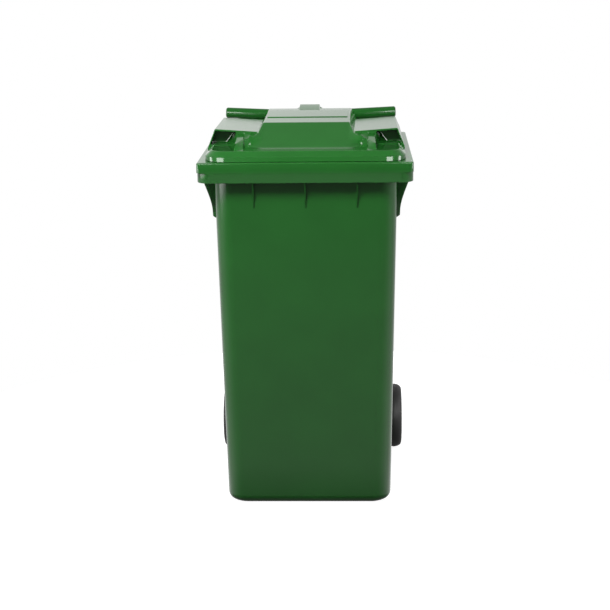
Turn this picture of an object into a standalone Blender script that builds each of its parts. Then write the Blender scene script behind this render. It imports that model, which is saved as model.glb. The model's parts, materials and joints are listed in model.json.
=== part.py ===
"""Two-wheeled waste bin of 240 litres: moulded body, hinged lid, axle and two push-on wheels.

Metres, +Z up, the bin's front towards -Y.  The origin is on the ground under the middle of the
bin's box.  Distances called "behind the rim front" are measured towards +Y from the front face
of the body's rim; along() turns them into Y.
"""
import math

import bmesh
import bpy
from mathutils import Matrix, Vector

# ---- driving dimensions -------------------------------------------------------------------
DEPTH = 0.712                     # rim front to the back of the tyres
GAP = 0.0003                      # between neighbouring pieces

RIM_HALF_WIDTH = 0.290            # body rim, the widest part
RIM_BACK = 0.641
RIM_TOP, RIM_BOTTOM = 0.999, 0.9445
RIM_CORNER = 0.030

WALL = 0.0045
TUB_BASE_HALF_WIDTH, TUB_TOP_HALF_WIDTH = 0.2335, 0.2500
TUB_BASE_FRONT, TUB_TOP_FRONT = 0.093, 0.036
TUB_BASE_BACK, TUB_TOP_BACK = 0.552, 0.612
TUB_CORNER = 0.050
BASE_ROUNDING = 0.026
FLOOR = 0.013

AXLE_BEHIND, AXLE_HEIGHT = 0.612, 0.100
AXLE_RADIUS, AXLE_HALF_LENGTH = 0.010, 0.2670
GROOVE_RADIUS, GROOVE_HALF_WIDTH = 0.008, 0.0045
BOSS_RADIUS, BOSS = 0.019, (0.150, 0.2265)
ARCH_RADIUS, ARCH_INNER = 0.112, 0.222

WHEEL_RADIUS, WHEEL_MIDDLE = 0.100, 0.2555
WHEEL_SIDES = 36                  # the same on rim and tyre, so that their facets line up
SEAT_RADIUS, RIDGE = 0.0780, 0.0030
HUB_RADIUS, HUB_INBOARD = 0.020, -0.0232
CHAMBER_RADIUS, CHAMBER_TOP = 0.0405, 0.012
BORE = AXLE_RADIUS + GAP
WEB_LOW, WEB_HIGH = -0.003, 0.002
LOCK_PIN_RADIUS, LOCK_SLOT, LOCK_TOP = 0.0040, 0.0044, 0.0365
PIN_LOW, PIN_TOP = GROOVE_RADIUS + GAP, 0.0215

HINGE_BEHIND, HINGE_HEIGHT = 0.690, 1.046
PIN_RADIUS, PIN_HEAD_RADIUS = 0.006, 0.009
EAR_INNER = (0.062, 0.074)        # hinge ears of the body, measured from the middle
EAR_OUTER = (0.100, 0.114)
LUG = (0.0765, 0.0975)            # hinge lug of the lid, between the two ears

GRIP_RADIUS = 0.016
GRIP_START, GRIP_END = 0.112, 0.262
GRIP_INNER_HEIGHT, GRIP_OUTER_HEIGHT = 1.0485, 1.0555
GRIP_BEHIND = 0.693

LID_HALF_WIDTH, LID_FRONT, LID_BACK = 0.2715, 0.018, 0.638
LID_BOTTOM, LID_WALL, LID_CORNER = 1.0000, 0.0040, 0.048
LID_LIP, SIDE_LIP = 1.0125, 1.0215     # top of the upright lip: in front, beside the panels
SHELF, LEDGE_RUN = 1.026, 0.020        # level ledge, and the slope up to it
PANEL_FRONT, PANEL_HALF_WIDTH = 0.168, 0.252
PANEL_FRONT_HEIGHT, PANEL_FALL, PANEL_TILT = 1.070, 0.030, 0.070
PANEL_BACK, HAND_SPACE, HAND_SPACE_HEIGHT = 0.530, 0.565, 1.028
HUMP_FOOT, HUMP_FRONT, HUMP_HEIGHT = 0.089, 0.200, 1.083
HUMP_HALF_WIDTH, HUMP_FLARE, HUMP_SIDE = 0.118, 0.036, 0.011
PILLAR = (0.168, 0.191)
POCKET_DEPTH = 0.055
BUMP_HALF_WIDTH, BUMP_HEIGHT = 0.031, 1.090
BUMP_FRONT, BUMP_PEAK, BUMP_BACK = 0.503, 0.598, 0.618


def along(behind):
    """Y of a point that lies this far behind the rim's front face."""
    return behind - DEPTH / 2


# ---- scene and materials ------------------------------------------------------------------
def clear_scene():
    for item in list(bpy.data.objects):
        bpy.data.objects.remove(item, do_unlink=True)


def new_collection(name):
    collection = bpy.data.collections.new(name)
    bpy.context.scene.collection.children.link(collection)
    return collection


def plain_material(name, colour, roughness, metallic=0.0):
    material = bpy.data.materials.new(name)
    material.use_nodes = True
    shader = material.node_tree.nodes["Principled BSDF"]
    shader.inputs["Base Color"].default_value = (*colour, 1.0)
    shader.inputs["Roughness"].default_value = roughness
    shader.inputs["Metallic"].default_value = metallic
    return material


# ---- shape helpers ------------------------------------------------------------------------
def add_object(name, mesh, collection, material=None):
    item = bpy.data.objects.new(name, mesh)
    collection.objects.link(item)
    if material:
        mesh.materials.append(material)
    return item


def as_cutter(item):
    item.hide_render = True
    item.display_type = "WIRE"
    return item


def combine(target, operation, cutter):
    """Boolean of one mesh with another, or with every mesh of a collection."""
    modifier = target.modifiers.new(operation.lower() + "_" + cutter.name, "BOOLEAN")
    modifier.operation = operation
    modifier.solver = "EXACT"
    if isinstance(cutter, bpy.types.Collection):
        modifier.operand_type = "COLLECTION"
        modifier.collection = cutter
    else:
        modifier.object = cutter


def box(name, low, high, collection):
    mesh = bpy.data.meshes.new(name)
    shape = bmesh.new()
    bmesh.ops.create_cube(shape, size=1.0)
    size = Vector(high) - Vector(low)
    middle = (Vector(high) + Vector(low)) / 2
    bmesh.ops.scale(shape, vec=size, verts=shape.verts)
    bmesh.ops.translate(shape, vec=middle, verts=shape.verts)
    shape.to_mesh(mesh)
    shape.free()
    return add_object(name, mesh, collection)


def rod_along_x(name, radius, start, end, behind, height, collection, segments=32):
    """Cylinder between two X positions; the ends may be given in either order."""
    mesh = bpy.data.meshes.new(name)
    shape = bmesh.new()
    bmesh.ops.create_cone(shape, cap_ends=True, segments=segments, radius1=radius,
                          radius2=radius, depth=abs(end - start))
    turn = Matrix.Rotation(math.pi / 2, 4, "Y")
    place = Matrix.Translation(((start + end) / 2, along(behind), height))
    bmesh.ops.transform(shape, matrix=place @ turn, verts=shape.verts)
    shape.to_mesh(mesh)
    shape.free()
    return add_object(name, mesh, collection)


def rounded_ring(half_width, front, back, corner, height, steps=6):
    """Outline of a rounded rectangle in plan, as points at one height, anticlockwise."""
    points = []
    centres = [(half_width - corner, back - corner, 0), (corner - half_width, back - corner, 1),
               (corner - half_width, front + corner, 2), (half_width - corner, front + corner, 3)]
    for x, behind, quarter in centres:
        for step in range(steps + 1):
            angle = (quarter + step / steps) * math.pi / 2
            points.append((x + corner * math.cos(angle),
                           along(behind + corner * math.sin(angle)), height))
    return points


def loft(name, rings, collection, material=None):
    """Closed solid through rings of equal length, from the lowest to the highest."""
    mesh = bpy.data.meshes.new(name)
    shape = bmesh.new()
    rows = [[shape.verts.new(point) for point in ring] for ring in rings]
    count = len(rows[0])
    for low, high in zip(rows, rows[1:]):
        for i in range(count):
            j = (i + 1) % count
            shape.faces.new((low[i], low[j], high[j], high[i]))
    shape.faces.new(list(reversed(rows[0])))
    shape.faces.new(rows[-1])
    shape.to_mesh(mesh)
    shape.free()
    return add_object(name, mesh, collection, material)


def side_plate(name, outline, x_low, x_high, collection):
    """Flat plate seen from the side: the outline is (behind, height), its thickness is along X."""
    curve = bpy.data.curves.new(name, "CURVE")
    curve.dimensions = "2D"
    curve.fill_mode = "BOTH"
    curve.extrude = (x_high - x_low) / 2
    spline = curve.splines.new("POLY")
    spline.points.add(len(outline) - 1)
    for point, (behind, height) in zip(spline.points, outline):
        point.co = (along(behind), height, 0.0, 1.0)
    spline.use_cyclic_u = True
    return curve_to_mesh(name, curve, Matrix.Translation(((x_low + x_high) / 2, 0, 0))
                         @ Matrix(((0, 0, 1, 0), (1, 0, 0, 0), (0, 1, 0, 0), (0, 0, 0, 1))),
                         collection)


def front_plate(name, outline, y_low, y_high, collection):
    """Flat plate seen from the front: the outline is (x, height), its thickness is along Y."""
    curve = bpy.data.curves.new(name, "CURVE")
    curve.dimensions = "2D"
    curve.fill_mode = "BOTH"
    curve.extrude = (y_high - y_low) / 2
    spline = curve.splines.new("POLY")
    spline.points.add(len(outline) - 1)
    for point, (x, height) in zip(spline.points, outline):
        point.co = (x, height, 0.0, 1.0)
    spline.use_cyclic_u = True
    return curve_to_mesh(name, curve, Matrix.Translation((0, (y_low + y_high) / 2, 0))
                         @ Matrix.Rotation(math.pi / 2, 4, "X"), collection)


def curve_to_mesh(name, curve, place, collection):
    """Closed mesh of a curve, with its caps welded and its place baked in."""
    source = bpy.data.objects.new(name + "_curve", curve)
    bpy.context.scene.collection.objects.link(source)
    bpy.context.view_layer.update()
    graph = bpy.context.evaluated_depsgraph_get()
    mesh = bpy.data.meshes.new_from_object(source.evaluated_get(graph))
    bpy.data.objects.remove(source, do_unlink=True)
    shape = bmesh.new()
    shape.from_mesh(mesh)
    bmesh.ops.remove_doubles(shape, verts=shape.verts, dist=0.00001)
    bmesh.ops.transform(shape, matrix=place, verts=shape.verts)
    bmesh.ops.recalc_face_normals(shape, faces=shape.faces)
    shape.to_mesh(mesh)
    shape.free()
    return add_object(name, mesh, collection)


def turned(name, profile, closed, steps, collection, material):
    """Body of revolution about local Z, from (radius, height) points given top to bottom."""
    mesh = bpy.data.meshes.new(name)
    count = len(profile)
    edges = [(i, i + 1) for i in range(count - 1)] + ([(count - 1, 0)] if closed else [])
    mesh.from_pydata([(radius, 0.0, height) for radius, height in profile], edges, [])
    item = add_object(name, mesh, collection, material)
    screw = item.modifiers.new("turn", "SCREW")
    screw.axis = "Z"
    screw.steps = steps
    screw.render_steps = steps
    screw.use_merge_vertices = True
    screw.merge_threshold = 0.00001
    return item


def smooth(item, degrees=35):
    item.data.shade_smooth()
    item.data.set_sharp_from_angle(angle=math.radians(degrees))


# ---- body ---------------------------------------------------------------------------------
def tub_section(height, inset=0.0, rounding=0.0):
    """Plan outline of the tub at a height; it widens evenly from the ground to the rim."""
    t = height / RIM_TOP
    half_width = TUB_BASE_HALF_WIDTH + (TUB_TOP_HALF_WIDTH - TUB_BASE_HALF_WIDTH) * t
    front = TUB_BASE_FRONT + (TUB_TOP_FRONT - TUB_BASE_FRONT) * t
    back = TUB_BASE_BACK + (TUB_TOP_BACK - TUB_BASE_BACK) * t
    shrink = inset + rounding
    return rounded_ring(half_width - shrink, front + shrink, back - shrink,
                        TUB_CORNER - inset - rounding * 0.5, height)


def tub_solid(name, inset, floor, top, collection):
    """Tapered tub with a rounded edge round its base."""
    radius = BASE_ROUNDING - inset
    rings = []
    for step in range(5):
        angle = step / 4 * math.pi / 2
        rings.append(tub_section(floor + radius * (1 - math.sin(angle)), inset,
                                 radius * (1 - math.cos(angle))))
    rings = list(reversed(rings))
    rings.append(tub_section(top, inset))
    return loft(name, rings, collection)


def rim_solid(name, inset, low, high, collection, material=None):
    corner = RIM_CORNER - inset
    return loft(name, [rounded_ring(RIM_HALF_WIDTH - inset, inset, RIM_BACK - inset, corner, z)
                       for z in (low, high)], collection, material)


def wall_front(height):
    return TUB_BASE_FRONT + (TUB_TOP_FRONT - TUB_BASE_FRONT) * height / RIM_TOP


def wall_side(height):
    return TUB_BASE_HALF_WIDTH + (TUB_TOP_HALF_WIDTH - TUB_BASE_HALF_WIDTH) * height / RIM_TOP


def rim_gussets(additions):
    """Webs that carry the rim: three across the front, four down each side."""
    low, inside = 0.869, 0.002
    for index, x in enumerate((-0.140, 0.0, 0.140)):
        outline = [(inside, RIM_TOP - 0.002), (inside, RIM_BOTTOM), (wall_front(low), low),
                   (wall_front(low) + inside, low), (wall_front(low) + inside, RIM_TOP - 0.002)]
        side_plate("front_gusset_%d" % index, outline, x - 0.0018, x + 0.0018, additions)
    edge = RIM_HALF_WIDTH - 0.002
    for index, behind in enumerate((0.106, 0.250, 0.390, 0.530)):
        for side in (-1, 1):
            outline = [(side * (wall_side(0.84) - 0.002), RIM_TOP - 0.002),
                       (side * edge, RIM_TOP - 0.002), (side * (edge - 0.003), RIM_BOTTOM),
                       (side * 0.268, 0.902), (side * 0.2595, 0.875), (side * 0.2570, 0.860),
                       (side * 0.2560, 0.838), (side * (wall_side(0.84) - 0.002), 0.830)]
            front_plate("side_gusset_%d_%s" % (index, "lr"[side > 0]), outline,
                        along(behind), along(behind) + 0.008, additions)


def hinge_outline(eye):
    """Side view of an ear or an arm: from the rim's back edge up to a round eye."""
    points = [(0.632, 0.962), (0.644, 0.962), (0.648, 0.988), (0.658, 1.006), (0.6830, 1.0330)]
    for step in range(9):
        angle = math.radians(-75 + step * 26.0)
        points.append((HINGE_BEHIND + eye * math.cos(angle), HINGE_HEIGHT + eye * math.sin(angle)))
    points += [(0.645, 1.008), (0.6415, 0.999), (0.632, 0.997)]
    return points


def grips(additions):
    """Two round hand grips that rise slightly towards their free ends."""
    for side in (-1, 1):
        curve = bpy.data.curves.new("grip", "CURVE")
        curve.dimensions = "3D"
        curve.bevel_depth = GRIP_RADIUS
        curve.bevel_resolution = 4
        curve.use_fill_caps = True
        spline = curve.splines.new("POLY")
        end_rounding = [(0.0, 1.0), (0.003, 0.97), (0.0055, 0.88), (0.007, 0.70)]
        length = GRIP_END - 0.007 - GRIP_START
        rise = (GRIP_OUTER_HEIGHT - GRIP_INNER_HEIGHT) / length
        spline.points.add(len(end_rounding))
        spline.points[0].co = (side * GRIP_START, along(GRIP_BEHIND), GRIP_INNER_HEIGHT, 1)
        for point, (out, thickness) in zip(spline.points[1:], end_rounding):
            reach = length + out
            point.co = (side * (GRIP_START + reach), along(GRIP_BEHIND),
                        GRIP_INNER_HEIGHT + rise * reach, 1)
            point.radius = thickness
        curve_to_mesh("grip_%s" % "lr"[side > 0], curve, Matrix.Identity(4), additions)
        web = [(side * 0.110, 1.030), (side * 0.205, 1.040), (side * 0.205, 1.034),
               (side * 0.110, 0.998)]
        front_plate("grip_web_%s" % "lr"[side > 0], web, along(0.678), along(0.686), additions)


def hinge_ears(additions):
    for side in (-1, 1):
        for label, (near, far) in (("inner", EAR_INNER), ("outer", EAR_OUTER)):
            low, high = sorted((side * near, side * far))
            side_plate("ear_%s_%s" % (label, "lr"[side > 0]), hinge_outline(0.015), low, high,
                       additions)


def axle_bosses(additions):
    """Tunnels for the axle, tied to the back wall by webs."""
    for side in (-1, 1):
        rod_along_x("axle_boss_%s" % "lr"[side > 0], BOSS_RADIUS, side * BOSS[0],
                    side * BOSS[1], AXLE_BEHIND, AXLE_HEIGHT, additions, 24)
        for index, x in enumerate((0.152, 0.184, 0.214)):
            low, high = sorted((side * x, side * (x + 0.006)))
            outline = [(0.540, 0.030), (0.566, 0.034), (0.620, 0.083), (0.620, 0.117),
                       (0.575, 0.170), (0.550, 0.170)]
            side_plate("axle_web_%d_%s" % (index, "lr"[side > 0]), outline, low, high, additions)


def body_cuts(cuts):
    """Axle and hinge-pin holes, the recess under the base, and the outer wheel arches."""
    for side in (-1, 1):
        rod_along_x("arch_%s" % "lr"[side > 0], ARCH_RADIUS, side * ARCH_INNER,
                    side * 0.300, AXLE_BEHIND, AXLE_HEIGHT, cuts, 48)
        rod_along_x("axle_hole_%s" % "lr"[side > 0], AXLE_RADIUS + GAP, side * 0.140,
                    side * 0.230, AXLE_BEHIND, AXLE_HEIGHT, cuts)
        rod_along_x("pin_hole_%s" % "lr"[side > 0], PIN_RADIUS + GAP, side * 0.060,
                    side * 0.1205, HINGE_BEHIND, HINGE_HEIGHT, cuts)
    loft("base_recess", [rounded_ring(0.160, 0.165, 0.500, 0.03, -0.01),
                         rounded_ring(0.158, 0.167, 0.498, 0.03, 0.007)], cuts)


def body(parts, cutters, green):
    rim = rim_solid("body", 0.0, RIM_BOTTOM, RIM_TOP, parts, green)
    channel = as_cutter(rim_solid("rim_channel", WALL, RIM_BOTTOM - 0.01, RIM_TOP - WALL, cutters))
    combine(rim, "DIFFERENCE", channel)

    additions = new_collection("body_additions")
    tub_solid("tub_outer", 0.0, 0.0, RIM_TOP - 0.001, additions)
    rim_gussets(additions)
    hinge_ears(additions)
    grips(additions)
    axle_bosses(additions)
    combine(rim, "UNION", additions)

    cavity = tub_solid("tub_inside", WALL, FLOOR, RIM_TOP + 0.02, cutters)
    for side in (-1, 1):
        arch = rod_along_x("arch_inside_%s" % "lr"[side > 0], ARCH_RADIUS + WALL,
                           side * (ARCH_INNER - WALL), side * 0.300, AXLE_BEHIND, AXLE_HEIGHT,
                           cutters, 48)
        combine(cavity, "DIFFERENCE", as_cutter(arch))
    combine(rim, "DIFFERENCE", as_cutter(cavity))

    cuts = new_collection("body_cuts")
    body_cuts(cuts)
    combine(rim, "DIFFERENCE", cuts)
    for item in list(additions.objects) + list(cuts.objects):
        as_cutter(item)
    smooth(rim)


# ---- lid ----------------------------------------------------------------------------------
def hump_half_width(behind):
    """The hump's top is straight sided; its front face flares out in a curve to its foot."""
    if behind >= HUMP_FRONT:
        return HUMP_HALF_WIDTH
    t = min(1.0, (HUMP_FRONT - behind) / (HUMP_FRONT - HUMP_FOOT))
    return HUMP_HALF_WIDTH + HUMP_FLARE * t ** 2.2


def hump_top(behind):
    if behind < HUMP_FRONT:
        t = max(0.0, behind - HUMP_FOOT) / (HUMP_FRONT - HUMP_FOOT)
        return SHELF + (HUMP_HEIGHT - SHELF) * t
    return HUMP_HEIGHT - 0.011 * ((behind - HUMP_FRONT) / (LID_BACK - HUMP_FRONT)) ** 2


def panel_height(x, behind):
    """Side panels fall towards the back and the hump, then drop to leave room for hands."""
    reach = min(behind, PANEL_BACK)
    panel = (PANEL_FRONT_HEIGHT - PANEL_FALL * (reach - PANEL_FRONT)
             - PANEL_TILT * (PANEL_HALF_WIDTH - x))
    drop = min(1.0, max(0.0, (behind - PANEL_BACK) / (HAND_SPACE - PANEL_BACK)))
    return panel + (HAND_SPACE_HEIGHT - panel) * drop


def lid_half_width(behind, wall):
    """Half width of the lid's outline, with round corners in plan."""
    full, corner = LID_HALF_WIDTH - wall, LID_CORNER - wall
    reach = corner - min(behind - LID_FRONT - wall, LID_BACK - wall - behind)
    if reach <= 0.0:
        return full
    return full - corner + math.sqrt(max(0.0, corner ** 2 - reach ** 2))


def bump_height(behind):
    """Stop pad on the hump: a ramp with a short flat end."""
    if not BUMP_FRONT < behind <= BUMP_BACK + 0.0001:
        return 0.0
    rise = min(1.0, (behind - BUMP_FRONT) / (BUMP_PEAK - BUMP_FRONT))
    return rise * (BUMP_HEIGHT - hump_top(BUMP_PEAK))


def lid_section(behind, wall):
    """Half of the lid's cross-section from the middle out, as (x, height) points.

    With a wall it gives the inside surface: everything lies that much lower and further in.
    """
    shifted = behind - wall
    ledge = LID_LIP + (SHELF - LID_LIP) * min(1.0, (shifted - LID_FRONT) / LEDGE_RUN)
    crest = hump_half_width(shifted) - wall
    foot = crest + HUMP_SIDE
    top = hump_top(shifted) if shifted > HUMP_FOOT else ledge
    side_x = (PILLAR[0] - wall, PILLAR[1] - wall, 0.222 - wall, PANEL_HALF_WIDTH - 0.003 - wall)
    raised = shifted > PANEL_FRONT
    side = [(x, panel_height(x + wall, behind) if raised else ledge) for x in side_x]
    valley = panel_height(foot, behind) if raised else ledge
    edge = panel_height(PANEL_HALF_WIDTH, behind) - 0.002 if raised else ledge
    lip = SIDE_LIP if raised else LID_LIP
    bump = 0.0 if wall else bump_height(behind)
    points = [(0.0, top + bump), (BUMP_HALF_WIDTH - 0.003, top + bump), (BUMP_HALF_WIDTH, top),
              (0.075, top), (crest - 0.003, top), (crest, top - 0.002), (foot, min(top, valley)),
              *side, (PANEL_HALF_WIDTH - wall, edge), (0.262 - wall, (edge + lip) / 2),
              (LID_HALF_WIDTH - 0.001 - wall, lip), (LID_HALF_WIDTH - wall, lip - 0.002)]
    scale = lid_half_width(behind, wall) / (LID_HALF_WIDTH - wall)
    return [(x * scale, height - wall) for x, height in points]


def lid_solid(name, wall, bottom, collection, material=None):
    """Solid under the lid's outside or inside surface, closed by a flat bottom."""
    front, back = LID_FRONT + wall, LID_BACK - wall
    stations = [front + 0.0001, front + 0.002, front + 0.005, front + 0.011, front + LEDGE_RUN,
                0.046, 0.062, 0.078, HUMP_FOOT + wall, 0.110, 0.135, 0.155, PANEL_FRONT + wall,
                PANEL_FRONT + 0.003 + wall, HUMP_FRONT + wall, 0.260, 0.340, 0.430,
                BUMP_FRONT, PANEL_BACK - wall, 0.542 - wall, 0.554 - wall, HAND_SPACE - wall,
                BUMP_PEAK, back - 0.020, back - 0.0195, back - 0.012, back - 0.006, back - 0.0005]
    rows = []
    for behind in stations:
        half = [(x, along(behind), z) for x, z in lid_section(behind, wall)]
        rows.append([(-x, y, z) for x, y, z in reversed(half[1:])] + half)
    shape = bmesh.new()
    grid = [[shape.verts.new(point) for point in row] for row in rows]
    feet = [[shape.verts.new((x, y, bottom)) for x, y, _ in row] for row in rows]
    last = len(grid[0]) - 1
    for high, low, in_feet, out_feet in zip(grid, grid[1:], feet, feet[1:]):
        for i in range(last):
            shape.faces.new((high[i], high[i + 1], low[i + 1], low[i]))
            shape.faces.new((in_feet[i], out_feet[i], out_feet[i + 1], in_feet[i + 1]))
        shape.faces.new((high[last], in_feet[last], out_feet[last], low[last]))
        shape.faces.new((high[0], low[0], out_feet[0], in_feet[0]))
    for i in range(last):
        shape.faces.new((feet[0][i], feet[0][i + 1], grid[0][i + 1], grid[0][i]))
        shape.faces.new((feet[-1][i + 1], feet[-1][i], grid[-1][i], grid[-1][i + 1]))
    bmesh.ops.triangulate(shape, faces=shape.faces)     # no bent quads for the Booleans
    mesh = bpy.data.meshes.new(name)
    shape.to_mesh(mesh)
    shape.free()
    return add_object(name, mesh, collection, material)


def hand_pocket(name, side, wall, collection):
    """Recess for the fingers under a side panel's front edge.

    With a wall it gives the lining, which runs into the panel above and the lid's side.
    """
    floor = SHELF + 0.001 - wall
    roof = PANEL_FRONT_HEIGHT - 0.0105 + 2 * wall
    near = side * (PILLAR[1] + 0.001 - wall)
    outline = [(near, floor), (side * (0.2640 + 3 * wall), floor),
               (side * (0.2500 + 3 * wall), roof), (near, roof - 0.002)]
    return front_plate(name, outline, along(PANEL_FRONT - 0.010),
                       along(PANEL_FRONT + POCKET_DEPTH + wall), collection)


def lid(parts, cutters, green):
    shell = lid_solid("lid", 0.0, LID_BOTTOM, parts, green)
    inside = lid_solid("lid_inside", LID_WALL, LID_BOTTOM - 0.01, cutters)
    for side, label in ((-1, "left"), (1, "right")):
        lining = hand_pocket("pocket_lining_" + label, side, LID_WALL, cutters)
        combine(inside, "DIFFERENCE", as_cutter(lining))
    combine(shell, "DIFFERENCE", as_cutter(inside))
    additions = new_collection("lid_additions")
    for side in (-1, 1):
        low, high = sorted((side * LUG[0], side * LUG[1]))
        outline = [(LID_BACK - 0.003, 1.014), (HINGE_BEHIND - 0.004, HINGE_HEIGHT - 0.0145)]
        for step in range(9):
            angle = math.radians(-80 + step * 22.5)
            outline.append((HINGE_BEHIND + 0.0145 * math.cos(angle),
                            HINGE_HEIGHT + 0.0145 * math.sin(angle)))
        outline += [(LID_BACK - 0.003, HINGE_HEIGHT + 0.0145)]
        side_plate("lug_%s" % "lr"[side > 0], outline, low, high, additions)
        x_low, x_high = sorted((side * PILLAR[0], side * PILLAR[1]))
        pillar = [(0.054, SHELF - 0.002), (0.066, 1.040), (0.120, 1.049), (0.1695, 1.0555),
                  (0.1695, SHELF - 0.002)]
        side_plate("pillar_%s" % "lr"[side > 0], pillar, x_low, x_high, additions)
    combine(shell, "UNION", additions)
    cuts = new_collection("lid_cuts")
    for side in (-1, 1):
        hand_pocket("pocket_%s" % "lr"[side > 0], side, 0.0, cuts)
        rod_along_x("lug_hole_%s" % "lr"[side > 0], PIN_RADIUS + GAP, side * 0.070,
                    side * 0.105, HINGE_BEHIND, HINGE_HEIGHT, cuts)
    combine(shell, "DIFFERENCE", cuts)
    for item in list(additions.objects) + list(cuts.objects):
        as_cutter(item)
    smooth(shell, 25)


def lid_buffers(parts, rubber):
    """Two studs under the lid's front edge that soften its fall on the rim."""
    for side, label in ((-1, "left"), (1, "right")):
        profile = [(0.0, 0.0085), (0.0035, 0.0085), (0.0050, 0.0070), (0.0055, 0.0), (0.0, 0.0)]
        item = turned("lid_buffer_" + label, profile, False, 16, parts, rubber)
        item.location = (side * 0.200, along(0.0290), RIM_TOP + GAP)
        smooth(item)


def hinge_pins(parts, black):
    """Headed pin through ear, lug and ear, hollow, with a plug pressed in to spread it."""
    for side, label in ((-1, "left"), (1, "right")):
        head, start, end = 0.0575, EAR_INNER[0] - GAP, 0.1195
        profile = [(0.0028, end - head), (PIN_RADIUS - 0.001, end - head),
                   (PIN_RADIUS, end - 0.0015 - head), (PIN_RADIUS, start - head),
                   (PIN_HEAD_RADIUS, start - head), (PIN_HEAD_RADIUS, 0.0), (0.0028, 0.0)]
        pin = turned("hinge_pin_" + label, profile, True, 20, parts, black)
        plug_profile = [(0.0, 0.052), (0.0020, 0.052), (0.0025, 0.049), (0.0025, -GAP),
                        (0.0050, -GAP), (0.0046, -0.0025), (0.0, -0.0025)]
        plug = turned("hinge_pin_plug_" + label, plug_profile, False, 16, parts, black)
        for item in (pin, plug):
            item.location = (side * head, along(HINGE_BEHIND), HINGE_HEIGHT)
            item.rotation_euler = (0.0, side * math.pi / 2, 0.0)
            smooth(item)


# ---- running gear -------------------------------------------------------------------------
def axle(parts, steel):
    groove = [(AXLE_RADIUS, WHEEL_MIDDLE + GROOVE_HALF_WIDTH),
              (GROOVE_RADIUS, WHEEL_MIDDLE + GROOVE_HALF_WIDTH),
              (GROOVE_RADIUS, WHEEL_MIDDLE - GROOVE_HALF_WIDTH),
              (AXLE_RADIUS, WHEEL_MIDDLE - GROOVE_HALF_WIDTH)]
    half = [(0.0, AXLE_HALF_LENGTH), (AXLE_RADIUS - 0.0012, AXLE_HALF_LENGTH),
            (AXLE_RADIUS, AXLE_HALF_LENGTH - 0.0012), *groove]
    profile = half + [(radius, -height) for radius, height in reversed(half)]
    item = turned("axle", profile, False, 24, parts, steel)
    item.location = (0.0, along(AXLE_BEHIND), AXLE_HEIGHT)
    item.rotation_euler = (0.0, math.pi / 2, 0.0)
    smooth(item)


def place_on_wheel(item, side):
    """Put a piece turned about local Z on the axle, its +Z end outboard."""
    item.location = (side * WHEEL_MIDDLE, along(AXLE_BEHIND), AXLE_HEIGHT)
    item.rotation_euler = (0.0, side * math.pi / 2, 0.0)
    smooth(item)


def wheel_rim(side, label, parts, cutters, black):
    """Rim, web and hub in one moulding; the hub holds the spring-loaded lock pin."""
    inner = SEAT_RADIUS - 0.0055
    profile = [(SEAT_RADIUS, 0.0205), (SEAT_RADIUS, 0.0065), (SEAT_RADIUS + RIDGE, 0.0050),
               (SEAT_RADIUS + RIDGE, -0.0050), (SEAT_RADIUS, -0.0065), (SEAT_RADIUS, -0.0205),
               (inner, -0.0205), (inner, WEB_LOW), (HUB_RADIUS, WEB_LOW),
               (HUB_RADIUS, HUB_INBOARD), (BORE, HUB_INBOARD), (BORE, CHAMBER_TOP),
               (CHAMBER_RADIUS, CHAMBER_TOP),
               (CHAMBER_RADIUS, WEB_HIGH), (inner, WEB_HIGH), (inner, 0.0205)]
    item = turned("wheel_rim_" + label, profile, True, WHEEL_SIDES, parts, black)
    place_on_wheel(item, side)
    ribs = new_collection("ribs_" + label)
    for index in range(6):
        angle = (index + 0.5) * math.pi / 3
        for name, reach, low, high in (("out", CHAMBER_RADIUS + 0.004, 0.001, 0.0105),
                                       ("in", HUB_RADIUS - 0.002, -0.014, -0.002)):
            rib = box("rib_%s_%d_%s" % (label, index, name), (-0.0016, reach, low),
                      (0.0016, inner + 0.002, high), ribs)
            turn = Matrix.Rotation(angle, 4, "Z")
            rib.data.transform(Matrix.Rotation(side * math.pi / 2, 4, "Y") @ turn)
            rib.data.transform(Matrix.Translation((side * WHEEL_MIDDLE, along(AXLE_BEHIND),
                                                   AXLE_HEIGHT)))
            as_cutter(rib)
    combine(item, "UNION", ribs)
    low, high = sorted((side * (WHEEL_MIDDLE - LOCK_SLOT), side * (WHEEL_MIDDLE + 0.020)))
    y, z = along(AXLE_BEHIND), AXLE_HEIGHT
    slot = box("lock_slot_" + label, (low, y - LOCK_SLOT, z + 0.0095),
               (high, y + LOCK_SLOT, z + LOCK_TOP), cutters)
    combine(item, "DIFFERENCE", as_cutter(slot))


def tyre(side, label, parts, rubber):
    seat, ridge = SEAT_RADIUS + GAP, SEAT_RADIUS + RIDGE + GAP
    outer = [(0.0790, 0.0228), (0.0850, 0.0240), (0.0905, 0.0226), (0.0950, 0.0188),
             (0.0982, 0.0130), (WHEEL_RADIUS, 0.0055)]
    inner = [(seat, 0.0215), (seat, 0.0068), (ridge, 0.0053)]
    profile = (outer + [(radius, -x) for radius, x in reversed(outer)]
               + [(radius, -x) for radius, x in inner] + list(reversed(inner)))
    place_on_wheel(turned("tyre_" + label, profile, True, WHEEL_SIDES, parts, rubber), side)


def hub_cap(side, label, parts, black):
    profile = [(0.0, 0.0236), (0.0200, 0.0232), (0.0330, 0.0212), (0.0415, 0.0160),
               (0.0434, 0.0120), (0.0434, 0.0040), (0.0409, 0.0040), (0.0409, 0.0125),
               (0.0320, 0.0190), (0.0190, 0.0210), (0.0, 0.0214)]
    place_on_wheel(turned("hub_cap_" + label, profile, False, 24, parts, black), side)


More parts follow.
